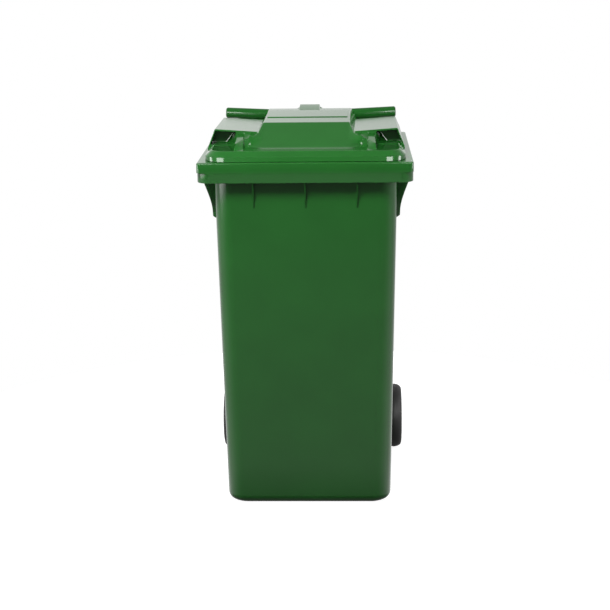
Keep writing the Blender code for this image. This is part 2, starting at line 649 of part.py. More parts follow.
def lock_pin(side, label, parts, yellow):
    """Upright pin whose foot stands in the axle's groove."""
    profile = [(0.0, PIN_TOP), (0.0028, PIN_TOP), (0.0028, PIN_TOP - 0.003),
               (LOCK_PIN_RADIUS, PIN_TOP - 0.003), (LOCK_PIN_RADIUS, PIN_LOW + 0.0008),
               (LOCK_PIN_RADIUS - 0.0008, PIN_LOW), (0.0, PIN_LOW)]
    item = turned("lock_pin_" + label, profile, False, 16, parts, yellow)
    item.location = (side * WHEEL_MIDDLE, along(AXLE_BEHIND), AXLE_HEIGHT)
    smooth(item)


def lock_spring(side, label, parts, steel):
    """Coil spring round the pin's nose, pushing down from the top of the slot."""
    wire, turns, per_turn = 0.00035, 4.5, 9
    low, high, radius = PIN_TOP - 0.003 + wire + GAP, LOCK_TOP - wire - GAP, 0.0034
    curve = bpy.data.curves.new("lock_spring_" + label, "CURVE")
    curve.dimensions = "3D"
    curve.bevel_depth = wire
    curve.bevel_resolution = 1
    curve.use_fill_caps = True
    spline = curve.splines.new("POLY")
    count = int(turns * per_turn)
    spline.points.add(count)
    for index, point in enumerate(spline.points):
        angle = index / per_turn * 2 * math.pi
        point.co = (radius * math.cos(angle), radius * math.sin(angle),
                    low + (high - low) * index / count, 1.0)
    place = Matrix.Translation((side * WHEEL_MIDDLE, along(AXLE_BEHIND), AXLE_HEIGHT))
    item = curve_to_mesh("lock_spring_" + label, curve, place, parts)
    item.data.materials.append(steel)
    smooth(item, 60)


def axle_spacer(side, label, parts, black):
    """Washer between the body's axle boss and the wheel hub."""
    inner, outer = BOSS[1] + GAP - WHEEL_MIDDLE, HUB_INBOARD - 0.0004
    profile = [(0.0165, outer), (0.0165, inner), (BORE, inner), (BORE, outer)]
    place_on_wheel(turned("axle_spacer_" + label, profile, True, 28, parts, black), side)


def main():
    clear_scene()
    parts = new_collection("wheelie_bin")
    cutters = new_collection("cutters")
    green = plain_material("green_moulded_plastic", (0.035, 0.150, 0.045), 0.42)
    black = plain_material("black_moulded_plastic", (0.012, 0.012, 0.013), 0.45)
    rubber = plain_material("black_rubber", (0.018, 0.018, 0.018), 0.75)
    steel = plain_material("zinc_plated_steel", (0.60, 0.61, 0.62), 0.32, 1.0)
    yellow = plain_material("yellow_acetal", (0.75, 0.48, 0.04), 0.40)
    body(parts, cutters, green)
    lid(parts, cutters, green)
    lid_buffers(parts, rubber)
    hinge_pins(parts, black)
    axle(parts, steel)
    for side, label in ((-1, "left"), (1, "right")):
        wheel_rim(side, label, parts, cutters, black)
        tyre(side, label, parts, rubber)
        hub_cap(side, label, parts, black)
        lock_pin(side, label, parts, yellow)
        lock_spring(side, label, parts, steel)
        axle_spacer(side, label, parts, black)


main()
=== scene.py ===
"""Looks of the two-wheeled waste bin: fine mouldings, procedural plastics, studio and camera.

Metres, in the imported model's frame: +Z up, the bin's front towards -Y.  "Behind" is a distance
measured towards +Y from the front face of the body's rim; along() turns it into Y.
"""
import json
import math

import bmesh
import bpy
import numpy as np
from mathutils import Matrix, Vector


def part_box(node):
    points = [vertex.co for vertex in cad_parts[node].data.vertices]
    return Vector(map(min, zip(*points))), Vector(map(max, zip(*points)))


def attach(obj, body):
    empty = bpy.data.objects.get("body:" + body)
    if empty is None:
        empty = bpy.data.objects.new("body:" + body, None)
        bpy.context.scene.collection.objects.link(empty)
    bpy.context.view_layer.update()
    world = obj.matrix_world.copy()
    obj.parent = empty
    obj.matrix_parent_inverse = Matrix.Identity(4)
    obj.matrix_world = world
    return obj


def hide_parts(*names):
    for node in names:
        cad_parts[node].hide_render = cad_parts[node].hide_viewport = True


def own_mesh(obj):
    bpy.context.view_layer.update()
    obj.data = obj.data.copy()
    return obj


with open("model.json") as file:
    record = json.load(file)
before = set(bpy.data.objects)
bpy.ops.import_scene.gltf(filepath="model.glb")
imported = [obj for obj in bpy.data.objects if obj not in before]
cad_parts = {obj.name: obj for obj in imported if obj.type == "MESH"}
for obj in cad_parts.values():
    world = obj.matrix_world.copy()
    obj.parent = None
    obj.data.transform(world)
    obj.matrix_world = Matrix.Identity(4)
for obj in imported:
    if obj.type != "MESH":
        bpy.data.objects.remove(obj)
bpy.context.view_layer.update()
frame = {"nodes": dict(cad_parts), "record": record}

# ---- driving dimensions -------------------------------------------------------------------
BODY_LOW, BODY_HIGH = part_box("body")
LID_LOW, LID_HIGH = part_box("lid")
RIM_FRONT = BODY_LOW.y
RIM_HALF_WIDTH = BODY_HIGH.x
RIM_TOP, RIM_BOTTOM, RIM_STEP, RIM_BACK = 0.999, 0.9445, 0.9715, 0.641
WALL = 0.0045

LID_HALF_WIDTH = LID_HIGH.x
LID_BOTTOM = LID_LOW.z
LID_FRONT, LID_BACK, LID_CORNER = 0.018, 0.638, 0.055
LIP_FRONT, LIP_ROUND = 0.0213, 0.0022    # the front lip leans back to its rounded top
LIP_TOP, SHELF, SHELF_START = 1.0125, 1.026, 0.0165
SIDE_FOOT, SIDE_STEEPNESS = 1.0215, 2.6  # height of the side walls' feet, and rise over run
REAR_FOOT, REAR_STEEPNESS = 1.0145, 6.0
HUMP_FOOT, HUMP_FRONT, HUMP_HEIGHT = 0.089, 0.200, 1.083
HUMP_HALF_WIDTH, HUMP_SIDE, HUMP_DROP = 0.118, 1.9, 0.011
FLARE_FOOT, FLARE_RUN = 0.113, 0.014     # the front face steepens towards its flared ends
FLARE_VALLEY = 0.122                     # behind the flare's crest a valley rises to the panel
PANEL_FRONT, PANEL_HALF_WIDTH, PANEL_HEIGHT = 0.167, 0.252, 1.070
PANEL_FALL, PANEL_TILT, PANEL_STEEPNESS = 0.030, 0.070, 12.0
HAND_SPACE, HAND_SPACE_HEIGHT = (0.530, 0.567), 1.0285     # hollow under the grips
RIB, RIB_FOOT, RIB_TOP = (0.168, 0.191), 0.054, 1.0555     # ribs beside the hand pockets
POCKET_DEPTH, POCKET_FLOOR, POCKET_ROOF = 0.045, 1.0275, 1.0655
POCKET_INNER, POCKET_SLANT, POCKET_CUT = 0.1935, 0.7, (0.150, 0.180)
TOP_STEP, TOP_STEP_FRONT, TOP_STEP_HALF_WIDTH = 0.0018, 0.3204, 0.114
STOP, STOP_HEIGHT, STOP_HALF_WIDTH = (0.503, 0.598, 0.618), 0.0121, 0.0305
LID_WALL = 0.0035

TUB_BASE = (0.2335, 0.093, 0.552)     # half width, front and back at the ground
TUB_TOP = (0.2500, 0.036, 0.612)      # the same at the rim's top
TUB_CORNER, BASE_ROUNDING, FLOOR = 0.050, 0.026, 0.013
TUB_LEVELS = (0.15, 0.30, 0.45, 0.60, 0.75, 0.88)      # heights of its rings above the base

FRONT_GUSSETS, FRONT_GUSSET_LOW, FRONT_GUSSET_HALF = (-0.140, 0.0, 0.140), 0.869, 0.0021
SIDE_GUSSETS, SIDE_GUSSET_LOW, SIDE_GUSSET_WIDTH = (0.106, 0.250, 0.390, 0.530), 0.830, 0.008

HINGE_BEHIND, HINGE_HEIGHT = 0.690, 1.046
EAR_RADIUS, LUG_RADIUS, LUG = 0.015, 0.0145, (0.0765, 0.0975)
EARS = (("inner", 0.062, 0.074), ("outer", 0.100, 0.114))
GRIP, GRIP_RADIUS, GRIP_EDGE, GRIP_RISE = (0.110, 0.262), 0.016, 0.006, 0.007
GRIP_BEHIND, GRIP_HEIGHT, SEAM_RADIUS = 0.693, 1.0485, 0.0011

AXLE_BEHIND, AXLE_HEIGHT, AXLE_BORE = 0.612, 0.100, 0.0103
BOSS, BOSS_RADIUS, BOSS_EDGE = (0.150, 0.2265), 0.019, 0.0015
AXLE_WEBS, AXLE_WEB_WIDTH = (0.152, 0.184, 0.214), 0.006
WHEEL_MIDDLE, SEAT_RADIUS = 0.2555, 0.078
SPOKES, SPOKE_HALF_WIDTH = 6, 0.0016
ARCH_RADIUS, ARCH_INNER = 0.112, 0.222


def along(behind):
    """Y of a place behind the rim's front face."""
    return RIM_FRONT + behind


# ---- materials ----------------------------------------------------------------------------
def material(name, colour, roughness, metallic=0.0, grain=0.00003, grain_scale=700.0,
             mottle=0.06, specular=0.5):
    """Moulded surface: slow colour mottling, uneven gloss and a fine grain in the relief."""
    item = bpy.data.materials.new(name)
    item.use_nodes = True
    nodes, links = item.node_tree.nodes, item.node_tree.links
    shader = nodes["Principled BSDF"]
    shader.inputs["Metallic"].default_value = metallic
    shader.inputs["Specular IOR Level"].default_value = specular
    place = nodes.new("ShaderNodeTexCoord")

    slow = nodes.new("ShaderNodeTexNoise")
    slow.inputs["Scale"].default_value = 7.0
    slow.inputs["Detail"].default_value = 4.0
    links.new(place.outputs["Object"], slow.inputs["Vector"])
    ramp = nodes.new("ShaderNodeValToRGB")
    ramp.color_ramp.elements[0].position, ramp.color_ramp.elements[1].position = 0.3, 0.7
    ramp.color_ramp.elements[0].color = (*[c * (1 - mottle) for c in colour], 1.0)
    ramp.color_ramp.elements[1].color = (*[c * (1 + mottle) for c in colour], 1.0)
    links.new(slow.outputs["Fac"], ramp.inputs["Fac"])
    links.new(ramp.outputs["Color"], shader.inputs["Base Color"])

    rough = nodes.new("ShaderNodeMapRange")
    rough.inputs["To Min"].default_value = roughness * 0.85
    rough.inputs["To Max"].default_value = roughness * 1.15
    uneven = nodes.new("ShaderNodeTexNoise")
    uneven.inputs["Scale"].default_value = 22.0
    uneven.inputs["Detail"].default_value = 3.0
    links.new(place.outputs["Object"], uneven.inputs["Vector"])
    links.new(uneven.outputs["Fac"], rough.inputs["Value"])
    links.new(rough.outputs["Result"], shader.inputs["Roughness"])

    fine = nodes.new("ShaderNodeTexNoise")
    fine.inputs["Scale"].default_value = grain_scale
    fine.inputs["Detail"].default_value = 2.0
    links.new(place.outputs["Object"], fine.inputs["Vector"])
    bump = nodes.new("ShaderNodeBump")
    bump.inputs["Strength"].default_value = 1.0
    bump.inputs["Distance"].default_value = grain
    links.new(fine.outputs["Fac"], bump.inputs["Height"])
    links.new(bump.outputs["Normal"], shader.inputs["Normal"])
    return item


GREEN = material("green_plastic", (0.013, 0.108, 0.015), 0.12, specular=0.40)
BLACK = material("black_plastic", (0.011, 0.011, 0.012), 0.36, grain=0.00006)
RUBBER = material("tyre_rubber", (0.017, 0.017, 0.017), 0.58, grain=0.00012, grain_scale=420.0)
STEEL = material("zinc_steel", (0.62, 0.63, 0.64), 0.28, metallic=1.0, grain=0.00002)
YELLOW = material("yellow_acetal", (0.70, 0.43, 0.03), 0.30)


# ---- mesh helpers -------------------------------------------------------------------------
def new_object(name, shape, surface, angle=32):
    """Object from a bmesh, smooth between edges sharper than the angle in degrees."""
    mesh = bpy.data.meshes.new(name)
    shape.to_mesh(mesh)
    shape.free()
    item = bpy.data.objects.new(name, mesh)
    bpy.context.scene.collection.objects.link(item)
    if surface:
        mesh.materials.append(surface)
    mesh.shade_smooth()
    mesh.set_sharp_from_angle(angle=math.radians(angle))
    return item


def flatten(item, angle=32):
    """Apply the modifiers of an object and shade the result smooth between its sharp edges."""
    bpy.context.view_layer.update()
    graph = bpy.context.evaluated_depsgraph_get()
    mesh = bpy.data.meshes.new_from_object(item.evaluated_get(graph))
    item.modifiers.clear()
    item.data = mesh
    mesh.shade_smooth()
    mesh.set_sharp_from_angle(angle=math.radians(angle))
    return item


def bevel(item, width, segments=3, angle=30):
    """Round off the edges that are sharper than the angle in degrees."""
    modifier = item.modifiers.new("rounding", "BEVEL")
    modifier.width = width
    modifier.segments = segments
    modifier.limit_method = "ANGLE"
    modifier.angle_limit = math.radians(angle)
    return flatten(item)


def boolean(item, operation, tool, solver="EXACT"):
    """Union with, or difference from, a tool mesh that is then removed."""
    modifier = item.modifiers.new("cut", "BOOLEAN")
    modifier.operation = operation
    modifier.object = tool
    modifier.solver = solver
    flatten(item)
    bpy.data.objects.remove(tool, do_unlink=True)
    return item


def rounded_ring(half_width, front, back, corner, height, steps=12):
    """Outline of a rounded rectangle in plan, as points at one height, anticlockwise."""
    points = []
    centres = [(half_width - corner, back - corner, 0), (corner - half_width, back - corner, 1),
               (corner - half_width, front + corner, 2), (half_width - corner, front + corner, 3)]
    for x, behind, quarter in centres:
        for step in range(steps + 1):
            angle = (quarter + step / steps) * math.pi / 2
            points.append((x + corner * math.cos(angle),
                           along(behind + corner * math.sin(angle)), height))
    return points


def loft(name, rings, surface):
    """Closed solid through rings of equal length, capped at both ends."""
    shape = bmesh.new()
    rows = [[shape.verts.new(point) for point in ring] for ring in rings]
    count = len(rows[0])
    for low, high in zip(rows, rows[1:]):
        for i in range(count):
            j = (i + 1) % count
            shape.faces.new((low[i], low[j], high[j], high[i]))
    shape.faces.new(list(reversed(rows[0])))
    shape.faces.new(rows[-1])
    return new_object(name, shape, surface)


def plate(name, outline, low, high, axis, surface=None):
    """Flat plate from an outline.  Axis X takes (behind, height), axis Y takes (x, height)."""
    shape = bmesh.new()
    if axis == "X":
        corners = [(low, along(a), b) for a, b in outline]
        push = Vector((high - low, 0, 0))
    else:
        corners = [(a, low, b) for a, b in outline]
        push = Vector((0, high - low, 0))
    face = shape.faces.new([shape.verts.new(corner) for corner in corners])
    grown = bmesh.ops.extrude_face_region(shape, geom=[face])
    moved = [part for part in grown["geom"] if isinstance(part, bmesh.types.BMVert)]
    bmesh.ops.translate(shape, vec=push, verts=moved)
    bmesh.ops.recalc_face_normals(shape, faces=shape.faces)
    return new_object(name, shape, surface)


def rod_along_x(name, radius, start, end, behind, height, surface=None, sides=64):
    """Round rod parallel to X."""
    shape = bmesh.new()
    bmesh.ops.create_cone(shape, cap_ends=True, segments=sides, radius1=radius, radius2=radius,
                          depth=abs(end - start))
    place = Matrix.Translation(((start + end) / 2, along(behind), height))
    turn = Matrix.Rotation(math.pi / 2, 4, "Y")
    bmesh.ops.transform(shape, matrix=place @ turn, verts=shape.verts)
    return new_object(name, shape, surface)


def turned(name, profile, closed, surface, sides=96):
    """Body of revolution about local Z, from (radius, height) points given top to bottom."""
    shape = bmesh.new()
    dots = [shape.verts.new((radius, 0.0, height)) for radius, height in profile]
    for a, b in zip(dots, dots[1:]):
        shape.edges.new((a, b))
    if closed:
        shape.edges.new((dots[-1], dots[0]))
    item = new_object(name, shape, surface)
    screw = item.modifiers.new("turn", "SCREW")
    screw.steps = sides
    screw.render_steps = sides
    screw.use_merge_vertices = True
    screw.merge_threshold = 0.00001
    return flatten(item, 28)


# ---- body ---------------------------------------------------------------------------------
def tub_ring(height, inset=0.0, rounding=0.0, level=None):
    """Plan outline of the tub; it widens evenly from the ground to the rim."""
    t = height / RIM_TOP
    half_width, front, back = (a + (b - a) * t for a, b in zip(TUB_BASE, TUB_TOP))
    shrink = inset + rounding
    return rounded_ring(half_width - shrink, front + shrink, back - shrink,
                        TUB_CORNER - inset - rounding * 0.5, height if level is None else level)


def rim_ring(inset, height, corner, lean=0.0):
    """Outline of the rim; lean sets back only its front."""
    return rounded_ring(RIM_HALF_WIDTH - inset, inset + lean, RIM_BACK - inset, corner - inset,
                        height)


def tub_and_rim():
    """Tub, comb rim and mouth as one closed skin: up the outside, round the rim, down inside."""
    rings = []
    for step in range(8):
        angle = (1 - step / 7) * math.pi / 2
        rings.append(tub_ring(BASE_ROUNDING * (1 - math.sin(angle)), 0.0,
                              BASE_ROUNDING * (1 - math.cos(angle))))
    under = RIM_TOP - WALL
    for height in (*TUB_LEVELS, under - 0.002):
        rings.append(tub_ring(height))
    rings.append(tub_ring(under, -0.002))
    lower, upper, lean = 0.034, 0.010, 0.0018      # corners of the rim's two bands
    rings += [rim_ring(WALL + 0.002, under, lower), rim_ring(WALL, under - 0.002, lower),
              rim_ring(WALL, RIM_BOTTOM + 0.001, lower), rim_ring(WALL - 0.001, RIM_BOTTOM, lower),
              rim_ring(0.0010, RIM_BOTTOM, lower, lean),
              rim_ring(0.0002, RIM_BOTTOM + 0.0005, lower, lean),
              rim_ring(0.0, RIM_BOTTOM + 0.0014, lower, lean),
              rim_ring(0.0, RIM_STEP - 0.0014, lower, 0.0003),
              rim_ring(0.0, RIM_STEP - 0.0004, 0.030), rim_ring(0.0, RIM_STEP + 0.0004, 0.014),
              rim_ring(0.0, RIM_STEP + 0.0016, upper), rim_ring(0.0, RIM_TOP - 0.0030, upper),
              rim_ring(0.0004, RIM_TOP - 0.0015, upper), rim_ring(0.0014, RIM_TOP - 0.0005, 0.011),
              rim_ring(0.0030, RIM_TOP, 0.012)]
    rings += [tub_ring(RIM_TOP, WALL - 0.003), tub_ring(RIM_TOP - 0.0008, WALL - 0.0012),
              tub_ring(RIM_TOP - 0.003, WALL)]
    for height in reversed(TUB_LEVELS):
        rings.append(tub_ring(height, WALL))
    inner = BASE_ROUNDING - WALL
    for step in range(8):
        angle = step / 7 * math.pi / 2
        rings.append(tub_ring(FLOOR + inner * (1 - math.sin(angle)), WALL,
                              inner * (1 - math.cos(angle))))
    return loft("body_shell", rings, GREEN)


def wheel_arches(shell):
    """Step the tub's back corners inwards so that the wheels can sit close to it."""
    for side in (-1, 1):
        lining = rod_along_x("lining", ARCH_RADIUS + WALL, side * (ARCH_INNER - WALL),
                             side * 0.240, AXLE_BEHIND, AXLE_HEIGHT)
        rings = [tub_ring(z, 0.0005) for z in (0.012, 0.30)]
        inside = loft("inside", rings, None)
        boolean(lining, "INTERSECT", inside)
        boolean(shell, "UNION", lining)
        arch = rod_along_x("arch", ARCH_RADIUS, side * ARCH_INNER, side * 0.300, AXLE_BEHIND,
                           AXLE_HEIGHT)
        boolean(shell, "DIFFERENCE", arch)


def wall_front(height):
    """Place of the tub's front wall at a height."""
    return TUB_BASE[1] + (TUB_TOP[1] - TUB_BASE[1]) * height / RIM_TOP


def wall_side(height):
    """Half width of the tub at a height."""
    return TUB_BASE[0] + (TUB_TOP[0] - TUB_BASE[0]) * height / RIM_TOP


def rim_gussets():
    """Webs under the rim: three thin ones across the front, four curved ones down each side."""
    pieces = []
    low, inside = FRONT_GUSSET_LOW, 0.0042
    for index, x in enumerate(FRONT_GUSSETS):
        outline = [(inside, RIM_TOP - 0.003), (inside, RIM_BOTTOM + 0.0015),
                   (wall_front(0.90) - 0.012, 0.905), (wall_front(low), low),
                   (wall_front(low) + 0.003, low), (wall_front(low) + 0.003, RIM_TOP - 0.003)]
        web = plate("front_gusset_%d" % index, outline, x - FRONT_GUSSET_HALF,
                    x + FRONT_GUSSET_HALF, "X", GREEN)
        pieces.append(bevel(web, 0.0008, 2))
    edge = RIM_HALF_WIDTH - 0.0035
    curve = [(edge - 0.003, RIM_BOTTOM + 0.0015), (0.2800, 0.9300), (0.2695, 0.9020),
             (0.2635, 0.8840), (0.2600, 0.8700), (0.2580, 0.8580), (0.2570, 0.838)]
    root = wall_side(0.84) - 0.002
    for index, behind in enumerate(SIDE_GUSSETS):
        for side, label in ((-1, "left"), (1, "right")):
            outline = [(side * root, RIM_TOP - 0.003), (side * edge, RIM_TOP - 0.003),
                       *[(side * x, z) for x, z in curve], (side * root, SIDE_GUSSET_LOW)]
            web = plate("side_gusset_%d_%s" % (index, label), outline, along(behind),
                        along(behind) + SIDE_GUSSET_WIDTH, "Y", GREEN)
            pieces.append(bevel(web, 0.0012, 2))
    return pieces


def hinge_outline():
    """Side view of a hinge ear: a neck from the rim's back up to a round eye."""
    points = [(0.632, 0.962), (0.644, 0.962), (0.648, 0.988), (0.658, 1.006), (0.6830, 1.0330)]
    for step in range(17):
        angle = math.radians(-75 + step * 13.0)
        points.append((HINGE_BEHIND + EAR_RADIUS * math.cos(angle),
                       HINGE_HEIGHT + EAR_RADIUS * math.sin(angle)))
    return points + [(0.645, 1.008), (0.6415, 0.999), (0.632, 0.997)]


def hinge_ears():
    """Two ears on each side, between which a lug of the lid turns."""
    pieces = []
    for side, label in ((-1, "left"), (1, "right")):
        for place, near, far in EARS:
            low, high = sorted((side * near, side * far))
            ear = plate("hinge_ear_%s_%s" % (place, label), hinge_outline(), low, high, "X",
                        GREEN)
            pieces.append(bevel(ear, 0.0015, 3))
    return pieces


def hand_grips():
    """Round bars in line with the hinge, each with its mould seam and the web under it."""
    pieces = []
    length = GRIP[1] - GRIP[0]
    for side, label in ((-1, "left"), (1, "right")):
        profile = [(0.0, length)]
        for step in range(1, 9):
            angle = step / 8 * math.pi / 2
            profile.append((GRIP_RADIUS - GRIP_EDGE + GRIP_EDGE * math.sin(angle),
                            length - GRIP_EDGE * (1 - math.cos(angle))))
        profile += [(GRIP_RADIUS, 0.0), (0.0, 0.0)]
        grip = turned("hand_grip_" + label, profile, False, GREEN, 64)
        rise = math.atan2(GRIP_RISE, length)
        lie = Matrix.Rotation(side * (math.pi / 2 - rise), 4, "Y")
        start = Vector((side * GRIP[0], along(GRIP_BEHIND), GRIP_HEIGHT))
        grip.matrix_world = Matrix.Translation(start) @ lie
        seam = turned("grip_seam_" + label, [(0.0, 0.143), (0.0007, 0.1425), (SEAM_RADIUS, 0.141),
                                             (SEAM_RADIUS, 0.0), (0.0, 0.0)], False, GREEN, 24)
        seam.matrix_world = Matrix.Translation(start - Vector((0, GRIP_RADIUS, 0))) @ lie
        web = plate("grip_web_" + label, [(side * GRIP[0], 1.034), (side * 0.225, 1.042),
                                          (side * 0.225, 1.038), (side * GRIP[0], 0.996)],
                    along(0.6875), along(0.6935), "Y", GREEN)
        pieces += [grip, seam, bevel(web, 0.0012, 2)]
    return pieces


def axle_bosses():
    """Tubes at the tub's back that carry the axle, each held by three webs."""
    pieces = []
    length, slim = BOSS[1] - BOSS[0], BOSS_RADIUS - BOSS_EDGE
    for side, label in ((-1, "left"), (1, "right")):
        profile = [(slim, length), (BOSS_RADIUS, length - BOSS_EDGE), (BOSS_RADIUS, BOSS_EDGE),
                   (slim, 0.0), (AXLE_BORE, 0.0), (AXLE_BORE, length)]
        boss = turned("axle_boss_" + label, profile, True, GREEN, 64)
        boss.matrix_world = (Matrix.Translation((side * BOSS[0], along(AXLE_BEHIND), AXLE_HEIGHT))
                             @ Matrix.Rotation(side * math.pi / 2, 4, "Y"))
        pieces.append(boss)
        for index, x in enumerate(AXLE_WEBS):
            low, high = sorted((side * x, side * (x + AXLE_WEB_WIDTH)))
            outline = [(0.540, 0.030), (0.566, 0.034), (0.604, 0.084), (0.601, 0.100),
                       (0.604, 0.116), (0.575, 0.170), (0.550, 0.170)]
            web = plate("axle_web_%d_%s" % (index, label), outline, low, high, "X", GREEN)
            pieces.append(bevel(web, 0.0012, 2))
    return pieces


# ---- lid ----------------------------------------------------------------------------------
def ease(value, low, high):
    """Smooth rise from 0 at low to 1 at high."""
    t = np.clip((value - low) / (high - low), 0.0, 1.0)
    return t * t * (3 - 2 * t)


def soft_max(a, b, radius):
    """The larger of two heights, with the inside corner between them rounded."""
    blend = np.clip(0.5 + (a - b) / (2 * radius), 0.0, 1.0)
    return b + (a - b) * blend + radius * blend * (1 - blend)


def soft_min(a, b, radius):
    """The smaller of two heights, with the outside corner between them rounded."""
    return -soft_max(-a, -b, radius)


def edge_distance(x, behind):
    """How far a plan point lies inside the lid's rounded outline."""
    middle, half = (LIP_FRONT + LID_BACK) / 2, (LID_BACK - LIP_FRONT) / 2
    across = np.abs(x) - LID_HALF_WIDTH + LID_CORNER
    length = np.abs(behind - middle) - half + LID_CORNER
    outside = np.hypot(np.maximum(across, 0), np.maximum(length, 0))
    return LID_CORNER - outside - np.minimum(np.maximum(across, length), 0)


def flare_crest(x):
    """Height of the front face's upper edge where it flares out beside the hump."""
    return np.interp(x, (0.118, 0.124, 0.137, 0.149, 0.158, 0.172, 0.188),
                     (1.083, 1.078, 1.062, 1.055, 1.050, 1.045, 1.039))


def lip_and_shelf(inside):
    """Rounded lip, the slope behind it and the flat shelf, by the distance from the outline."""
    round_over = np.sqrt(np.clip(1 - (1 - np.clip(inside, 0, LIP_ROUND) / LIP_ROUND) ** 2, 0, 1))
    lip = LIP_TOP - LIP_ROUND * (1 - round_over)
    slope = LIP_TOP + (SHELF - LIP_TOP) * (inside - LIP_ROUND) / (SHELF_START - LIP_ROUND)
    return np.where(inside < LIP_ROUND, lip, soft_min(slope, SHELF + 0 * inside, 0.0012))


def rear_wall(behind):
    """Height of the steep wall along the lid's back edge."""
    return REAR_FOOT + (LID_BACK - 0.0035 - behind) * REAR_STEEPNESS


def side_panel(x, behind):
    """Panel beside the raised middle, with its front and side walls and the hand hollow."""
    side_wall = SIDE_FOOT + (LID_HALF_WIDTH - 0.0008 - x) * SIDE_STEEPNESS
    front_wall = SHELF - 0.004 + (behind - PANEL_FRONT + 0.004) * PANEL_STEEPNESS
    panel = (PANEL_HEIGHT - PANEL_FALL * (behind - PANEL_FRONT)
             - PANEL_TILT * (PANEL_HALF_WIDTH - x))
    hollow = np.clip((HAND_SPACE[1] - behind) / (HAND_SPACE[1] - HAND_SPACE[0]), 0.0, 3.0)
    panel = soft_min(panel, HAND_SPACE_HEIGHT + 0.031 * hollow ** 2, 0.003)
    panel = soft_min(panel, side_wall, 0.003)
    panel = soft_min(panel, rear_wall(behind), 0.004)
    return soft_min(panel, front_wall, 0.003)


def raised_middle(x, behind, flared):
    """Raised middle and its front face, whose ends flare out towards the side panels."""
    foot = HUMP_FOOT + (FLARE_FOOT - HUMP_FOOT) * flared
    run = (HUMP_FRONT - HUMP_FOOT) * (1 - flared) + FLARE_RUN * flared
    face = SHELF + (HUMP_HEIGHT - SHELF) * (behind - foot) / run
    crown = HUMP_HEIGHT - HUMP_DROP * (np.clip(behind - HUMP_FRONT, 0, 1)
                                       / (LID_BACK - HUMP_FRONT)) ** 7
    side = HUMP_HEIGHT + 0.0035 - (x - HUMP_HALF_WIDTH) * HUMP_SIDE
    hump = soft_min(soft_min(crown, face, 0.002), side, 0.004)
    hump = soft_min(hump, rear_wall(behind), 0.004)

    crest = flare_crest(x)
    dip = crest - 0.004
    rise = PANEL_HEIGHT - 0.005 - PANEL_TILT * (PANEL_HALF_WIDTH - x) - dip
    valley = dip + 0.004 * ease(-behind, -FLARE_VALLEY - 0.010, -FLARE_VALLEY + 0.002)
    climb = PANEL_FRONT - FLARE_VALLEY
    valley += rise * np.clip((behind - FLARE_VALLEY) / climb, 0, 1) ** 1.6
    flare = soft_min(face, valley, 0.0025)
    flare = np.where((x < RIB[0] + 0.003) & (behind < PANEL_FRONT + 0.001), flare, 0.0)
    return np.maximum(hump, flare)


def pocket_rib(x, behind):
    """Rib that runs from the shelf up to the panel, between the flare and the hand pocket."""
    top = RIB_TOP - 0.14 * (PANEL_FRONT - behind)
    across = np.clip((x - RIB[0]) / (RIB[1] - RIB[0]), 0, 1)
    run = behind - RIB_FOOT
    nose = SHELF + np.where(run > 0, run * (0.375 + across ** 2), run * 3.0)
    rib = soft_min(top, nose, 0.002)
    rib = soft_min(rib, SHELF - 0.002 + (RIB[1] + 0.0008 - x) * 10.0, 0.003)
    rib = soft_min(rib, SHELF - 0.002 + (x - RIB[0] + 0.0008) * 10.0, 0.003)
    return np.where(behind > PANEL_FRONT + 0.006, 0.0, rib)


def top_details(x, behind):
    """What stands on the raised middle: a thin step, and the stop at its back."""
    step = TOP_STEP * ease(behind, TOP_STEP_FRONT - 0.0004, TOP_STEP_FRONT + 0.0004)
    step *= ease(-x, -TOP_STEP_HALF_WIDTH - 0.0005, -TOP_STEP_HALF_WIDTH + 0.0005)
    step *= ease(-behind, -STOP[0], -STOP[0] + 0.005)
    stop = np.clip((behind - STOP[0]) / (STOP[1] - STOP[0]), 0, 1)
    stop = stop * ease(-x, -STOP_HALF_WIDTH - 0.0015, -STOP_HALF_WIDTH + 0.0015)
    stop *= STOP_HEIGHT * ease(-behind, -STOP[2] - 0.004, -STOP[2] + 0.002)
    return np.maximum(step, stop)


def lid_height(x, behind):
    """Height of the lid's top surface."""
    x = np.abs(x)
    flared = ease(x, HUMP_HALF_WIDTH - 0.002, 0.156)
    height = lip_and_shelf(edge_distance(x, behind))
    height = soft_max(height, side_panel(x, behind), 0.0012)
    height = soft_max(height, raised_middle(x, behind, flared), 0.0045 - 0.003 * flared)
    height = soft_max(height, pocket_rib(x, behind), 0.0015)
    return height + top_details(x, behind)


def rounded_outline(corners, radius, steps=5):
    """Outline through the corners, each replaced by a short curve."""
    points = []
    for index, corner in enumerate(corners):
        corner = Vector(corner)
        before = Vector(corners[index - 1]) - corner
        after = Vector(corners[(index + 1) % len(corners)]) - corner
        start, end = corner + before.normalized() * radius, corner + after.normalized() * radius
        for step in range(steps + 1):
            t = step / steps
            points.append(start * (1 - t) ** 2 + corner * 2 * t * (1 - t) + end * t * t)
    return points


def pocket_outline(side, depth, shrink=0.0):
    """Outline of a hand pocket at a share of its depth; its inner wall runs in at an angle."""
    low, high = POCKET_FLOOR + shrink, POCKET_ROOF - shrink
    slant = [(POCKET_ROOF - z) * POCKET_SLANT + 0.003 for z in (low, high)]
    corners = [(POCKET_INNER + slant[0] * depth + shrink, low), (0.2649 - shrink, low),
               (0.2503 - shrink, high), (POCKET_INNER + slant[1] * depth + shrink, high - 0.0038)]
    return [(side * x, z) for x, z in rounded_outline(corners, 0.0022)]


